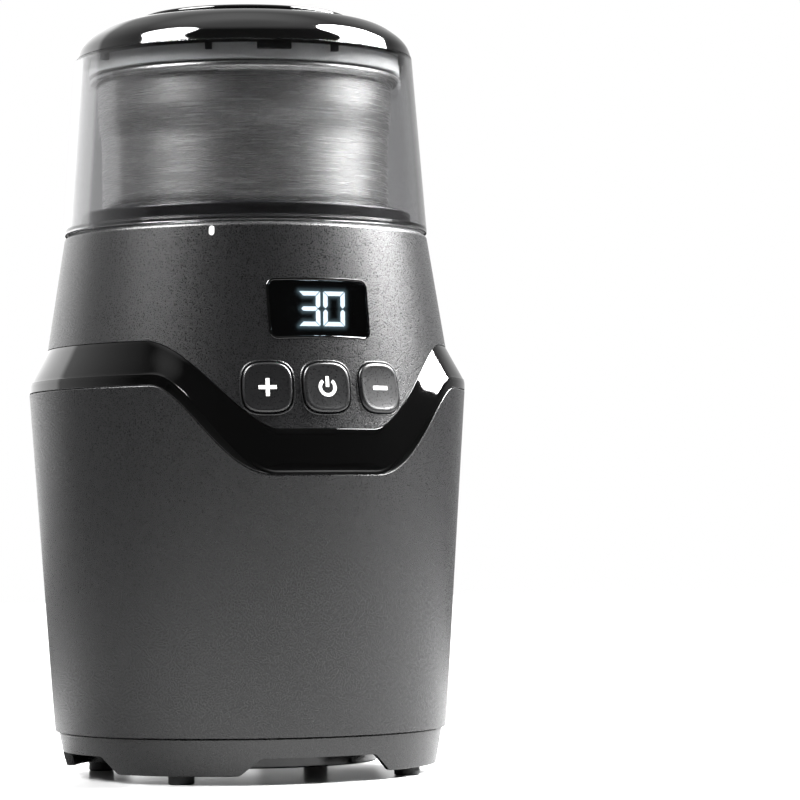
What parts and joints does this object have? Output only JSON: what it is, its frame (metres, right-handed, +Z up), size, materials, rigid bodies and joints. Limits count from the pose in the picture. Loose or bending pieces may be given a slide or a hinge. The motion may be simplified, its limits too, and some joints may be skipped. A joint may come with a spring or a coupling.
{
  "type": "electric spice grinder",
  "caption": "Upright electric spice grinder: tapered matt body, gloss trim band, display and push buttons, removable steel bowl with two-arm blade and a clear smoked lid.",
  "frame": {"origin": "on the vertical axis of the bowl and motor, at the surface that the feet stand on", "axes": "+Z up, the display and buttons face -Y, +X to the viewer's right when facing them"},
  "size_m": [0.1392, 0.1376, 0.2406],
  "materials": {
    "matt_case": "fine spark-eroded moulding texture, matt dark grey",
    "gloss_black": "polished black moulding",
    "satin_black": "satin black moulding",
    "button_black": "satin black with raised gloss rim",
    "soft_black": "matt moulded rubber",
    "clear_silicone": "frosted translucent silicone",
    "clear_smoked": "clear smoked copolyester, polished",
    "display_lens": "dark smoked lens",
    "lit_white": "lit segments, cool white",
    "print_white": "white pad print",
    "circuit_board": "solder mask on laminate",
    "component_plastic": "moulded component housings",
    "plated_screw": "zinc plated",
    "cast_aluminium": "die cast, unfinished",
    "steel_laminations": "stacked laminations, varnished",
    "enamelled_copper": "enamelled copper wire",
    "commutator_copper": "turned copper bars",
    "brass_parts": "stamped or turned brass",
    "carbon": "pressed carbon",
    "bearing_steel": "ground steel",
    "brushed_bowl": "spun and brushed stainless steel",
    "blade_steel": "ground stainless steel"
  },
  "bodies": {
    "root": {"lower_shell": "matt_case", "trim_band": "gloss_black", "upper_shell": "matt_case", "base_skirt": "matt_case", "cord_spool": "satin_black", "rubber_feet": "soft_black", "cord_grommet": "soft_black", "base_screws": "plated_screw", "case_screws": "plated_screw", "alignment_mark": "print_white", "display_bezel": "gloss_black", "display_window": "display_lens", "display_module": "satin_black", "display_digits": "lit_white", "control_board": "circuit_board", "button_switches": "component_plastic", "board_screws": "plated_screw", "bowl_socket": "satin_black", "socket_screws": "plated_screw", "shaft_seal": "soft_black", "rubber_mounts": "soft_black", "upper_bracket": "cast_aluminium", "lower_bracket": "cast_aluminium", "field_core": "steel_laminations", "field_coils": "enamelled_copper", "motor_bearings": "bearing_steel", "motor_screws": "plated_screw", "brush_holders": "brass_parts", "carbon_brushes": "carbon", "power_board": "circuit_board", "power_parts": "component_plastic", "interlock_switch": "component_plastic"},
    "rotor": {"motor_shaft": "bearing_steel", "armature_core": "steel_laminations", "armature_windings": "enamelled_copper", "commutator": "commutator_copper", "cooling_fan": "component_plastic", "drive_dog": "soft_black"},
    "bowl_seat": {"bowl_seat_ring": "soft_black"},
    "bowl": {"bowl_cup": "brushed_bowl", "bowl_collar": "satin_black", "bowl_hub": "satin_black", "hub_bearing": "brass_parts", "hub_seal": "soft_black", "hub_nut": "plated_screw"},
    "blade": {"grinding_blade": "blade_steel", "blade_shaft": "bearing_steel", "blade_rivet": "blade_steel", "blade_washer": "blade_steel", "driven_dog": "soft_black"},
    "lid": {"lid_cover": "clear_smoked", "lid_cap": "gloss_black", "lid_disc": "gloss_black", "lid_inner_ring": "satin_black", "lid_seal": "clear_silicone"},
    "interlock": {"interlock_pin": "component_plastic"},
    "plus_button": {"plus_button": "button_black"},
    "power_button": {"power_button": "button_black"},
    "minus_button": {"minus_button": "button_black"}
  },
  "joints": [
    {"name": "rotor_spin", "type": "hinge", "parent": "root", "child": "rotor", "pos_m": [0, 0, 0.1], "axis": [0, 0, 1], "continuous": true},
    {"name": "bowl_twist", "type": "hinge", "parent": "root", "child": "bowl_seat", "pos_m": [0, 0, 0.155], "axis": [0, 0, 1], "range_deg": [-15, 0]},
    {"name": "bowl_lift", "type": "slide", "parent": "bowl_seat", "child": "bowl", "axis": [0, 0, 1], "range_m": [0, 0.04]},
    {"name": "lid_lift", "type": "slide", "parent": "bowl", "child": "lid", "axis": [0, 0, 1], "range_m": [0, 0.1]},
    {"name": "blade_spin", "type": "hinge", "parent": "bowl", "child": "blade", "pos_m": [0, 0, 0.17], "axis": [0, 0, 1], "continuous": true},
    {"name": "interlock_rise", "type": "slide", "parent": "root", "child": "interlock", "axis": [0, 0, 1], "range_m": [0, 0.002]},
    {"name": "plus_button_press", "type": "slide", "parent": "root", "child": "plus_button", "axis": [0.2737, 0.9483, -0.1604], "range_m": [0, 0.0008], "stiffness_N_per_m": 700, "springref_m": -0.0008},
    {"name": "power_button_press", "type": "slide", "parent": "root", "child": "power_button", "axis": [0, 0.9871, -0.1604], "range_m": [0, 0.0008], "stiffness_N_per_m": 700, "springref_m": -0.0008},
    {"name": "minus_button_press", "type": "slide", "parent": "root", "child": "minus_button", "axis": [-0.2737, 0.9483, -0.1604], "range_m": [0, 0.0008], "stiffness_N_per_m": 700, "springref_m": -0.0008}
  ],
  "couplings": [
    {"joint": "blade_spin", "follows": "rotor_spin", "ratio": 1},
    {"joint": "interlock_rise", "follows": "lid_lift", "ratio": 0.02}
  ]
}
